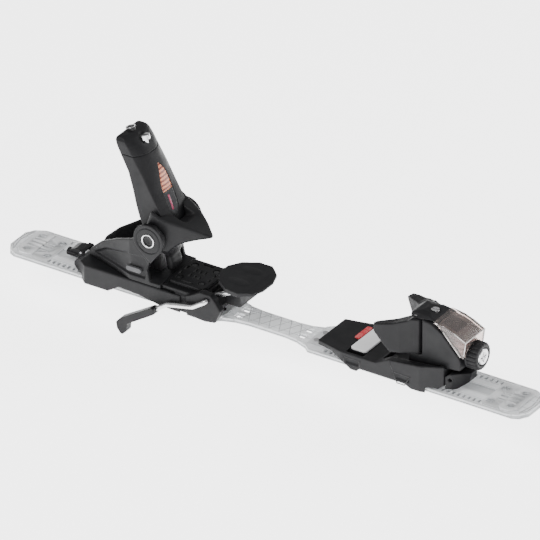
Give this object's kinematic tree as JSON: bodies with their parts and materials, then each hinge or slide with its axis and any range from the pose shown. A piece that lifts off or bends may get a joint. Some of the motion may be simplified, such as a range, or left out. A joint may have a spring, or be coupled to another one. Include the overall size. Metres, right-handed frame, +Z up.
{
  "type": "downhill ski binding on a rail plate",
  "caption": "Ski binding: a toe piece with sprung side wings and a step-in heel with lever and brake, both sliding on a flat translucent rail plate.",
  "frame": {"origin": "centre of the rail plate's underside, on the ski's top face, under the middle of the connecting strip", "axes": "+X to the ski's tip, +Y to the ski's left side, +Z up from the ski"},
  "size_m": [0.664, 0.098, 0.2298],
  "materials": {
    "black_plastic": "satin black moulded plastic with a fine grain",
    "bright_steel": "bright nickel plated steel",
    "clear_plate": "translucent, lightly frosted, moulded plastic",
    "clear_window": "clear plastic with a warm tint",
    "copper_scale": "copper coloured scale",
    "dark_gloss": "dark glossy plastic",
    "grey_plastic": "mid grey moulded plastic",
    "red_trim": "red and white trim",
    "spring_steel": "spring steel",
    "steel": "zinc plated steel",
    "white_plastic": "low friction white plastic"
  },
  "bodies": {
    "ski_plate": {"front_rail_plate": "clear_plate", "rear_rail_plate": "clear_plate", "connecting_strip": "clear_plate", "strip_rivets": "bright_steel"},
    "toe_base": {"toe_base": "black_plastic", "toe_runner": "steel", "toe_base_screws": "dark_gloss", "afd_trim": "red_trim", "toe_lock_pin": "steel"},
    "afd": {"afd_carriage": "black_plastic", "afd_plate": "white_plastic"},
    "toe_lock": {"toe_lock_lever": "black_plastic"},
    "toe_head": {"toe_housing": "black_plastic", "toe_top_cover": "black_plastic", "wing_pins": "bright_steel", "toe_window": "clear_window", "toe_scale": "copper_scale", "toe_spring": "spring_steel"},
    "toe_height_screw": {"toe_height_screw": "bright_steel"},
    "toe_knob": {"toe_knob": "black_plastic", "toe_knob_insert": "bright_steel"},
    "toe_tension_rod": {"toe_tension_rod": "steel"},
    "toe_indicator": {"toe_indicator": "copper_scale"},
    "right_wing": {"right_wing": "black_plastic", "right_wing_pad": "black_plastic"},
    "left_wing": {"left_wing": "black_plastic", "left_wing_pad": "black_plastic"},
    "heel_track": {"heel_track": "black_plastic", "heel_runner": "steel", "forward_pressure_springs": "spring_steel", "heel_lock_pin": "steel"},
    "forward_pressure_screw": {"forward_pressure_screw": "dark_gloss"},
    "heel_lock": {"heel_lock_lever": "black_plastic"},
    "heel_carriage": {"heel_frame": "black_plastic", "boss_covers": "black_plastic", "heel_axle": "bright_steel", "heel_cam": "steel", "side_buttons": "grey_plastic", "brake_housing": "black_plastic", "heel_pad": "black_plastic", "housing_screws": "dark_gloss"},
    "heel_cup": {"heel_cup": "black_plastic"},
    "heel_lever": {"heel_lever": "black_plastic", "heel_lever_cap": "black_plastic", "heel_cap_disc": "dark_gloss", "heel_window": "clear_window", "heel_spring": "spring_steel", "heel_cam_follower": "steel"},
    "heel_adjust_screw": {"heel_adjust_screw": "bright_steel"},
    "heel_indicator": {"heel_indicator": "copper_scale"},
    "brake_arms": {"brake_arm_right": "bright_steel", "brake_arm_left": "bright_steel", "brake_foot_right": "black_plastic", "brake_foot_left": "black_plastic"},
    "brake_pedal": {"brake_pedal": "black_plastic", "pedal_clip": "black_plastic"}
  },
  "joints": [
    {"name": "toe_length_slide", "type": "slide", "parent": "ski_plate", "child": "toe_base", "axis": [1, 0, 0], "range_m": [-0.02, 0.04]},
    {"name": "afd_slide", "type": "slide", "parent": "toe_base", "child": "afd", "axis": [0, 1, 0], "range_m": [-0.006, 0.006], "stiffness_N_per_m": 400},
    {"name": "toe_lock_hinge", "type": "hinge", "parent": "toe_base", "child": "toe_lock", "pos_m": [0.238, 0, 0.02], "axis": [0, -1, 0], "range_deg": [0, 12], "stiffness_Nm_per_rad": 0.3},
    {"name": "toe_height_slide", "type": "slide", "parent": "toe_base", "child": "toe_head", "axis": [0, 0, 1], "range_m": [0, 0.004]},
    {"name": "toe_height_turn", "type": "hinge", "parent": "toe_head", "child": "toe_height_screw", "pos_m": [0.204, 0, 0.086], "axis": [0, 0, 1], "range_deg": [0, 720]},
    {"name": "toe_knob_turn", "type": "hinge", "parent": "toe_head", "child": "toe_knob", "pos_m": [0.258, 0, 0.046], "axis": [1, 0, 0], "range_deg": [-720, 720]},
    {"name": "toe_indicator_slide", "type": "slide", "parent": "toe_head", "child": "toe_indicator", "axis": [1, 0, 0], "range_m": [-0.003, 0.003], "deforming": ["toe_spring"]},
    {"name": "toe_tension_slide", "type": "slide", "parent": "toe_head", "child": "toe_tension_rod", "axis": [-1, 0, 0], "range_m": [0, 0.004], "stiffness_N_per_m": 8000},
    {"name": "right_wing_hinge", "type": "hinge", "parent": "toe_head", "child": "right_wing", "pos_m": [0.19, -0.0155, 0.06], "axis": [0, 0, 1], "range_deg": [0, 35], "stiffness_Nm_per_rad": 15},
    {"name": "left_wing_hinge", "type": "hinge", "parent": "toe_head", "child": "left_wing", "pos_m": [0.19, 0.0155, 0.06], "axis": [0, 0, -1], "range_deg": [0, 35], "stiffness_Nm_per_rad": 15},
    {"name": "heel_length_slide", "type": "slide", "parent": "ski_plate", "child": "heel_track", "axis": [1, 0, 0], "range_m": [-0.03, 0.03]},
    {"name": "forward_pressure_turn", "type": "hinge", "parent": "heel_track", "child": "forward_pressure_screw", "pos_m": [-0.256, 0, 0.0108], "axis": [1, 0, 0], "range_deg": [-720, 720]},
    {"name": "heel_lock_hinge", "type": "hinge", "parent": "heel_track", "child": "heel_lock", "pos_m": [-0.2435, 0, 0.02], "axis": [0, 1, 0], "range_deg": [0, 25], "stiffness_Nm_per_rad": 0.2},
    {"name": "forward_pressure_slide", "type": "slide", "parent": "heel_track", "child": "heel_carriage", "axis": [-1, 0, 0], "range_m": [0, 0.006], "stiffness_N_per_m": 12000},
    {"name": "heel_lever_hinge", "type": "hinge", "parent": "heel_carriage", "child": "heel_lever", "pos_m": [-0.138, 0, 0.081], "axis": [0, -1, 0], "range_deg": [0, 50], "stiffness_Nm_per_rad": 3},
    {"name": "heel_cup_hinge", "type": "hinge", "parent": "heel_carriage", "child": "heel_cup", "pos_m": [-0.138, 0, 0.081], "axis": [0, -1, 0], "range_deg": [0, 40]},
    {"name": "heel_adjust_turn", "type": "hinge", "parent": "heel_lever", "child": "heel_adjust_screw", "pos_m": [-0.16724, 0, 0.18339], "axis": [-0.2804, 0, 0.9599], "range_deg": [-720, 720]},
    {"name": "heel_indicator_slide", "type": "slide", "parent": "heel_lever", "child": "heel_indicator", "axis": [-0.2804, 0, 0.9599], "range_m": [-0.0035, 0.0035], "deforming": ["heel_spring"]},
    {"name": "brake_hinge", "type": "hinge", "parent": "heel_carriage", "child": "brake_arms", "pos_m": [-0.064, 0, 0.029], "axis": [0, 1, 0], "range_deg": [0, 28], "stiffness_Nm_per_rad": 2},
    {"name": "brake_pedal_hinge", "type": "hinge", "parent": "brake_arms", "child": "brake_pedal", "pos_m": [-0.04, 0, 0.041], "axis": [0, 1, 0], "range_deg": [-28, 0]}
  ],
  "couplings": [
    {"joint": "toe_height_turn", "follows": "toe_height_slide", "rad_per_m": 3141.5},
    {"joint": "toe_indicator_slide", "follows": "toe_knob_turn", "m_per_rad": -0.000238},
    {"joint": "heel_cup_hinge", "follows": "heel_lever_hinge", "ratio": 0.8},
    {"joint": "heel_adjust_turn", "follows": "heel_indicator_slide", "rad_per_m": -3590},
    {"joint": "brake_pedal_hinge", "follows": "brake_hinge", "ratio": -1}
  ]
}
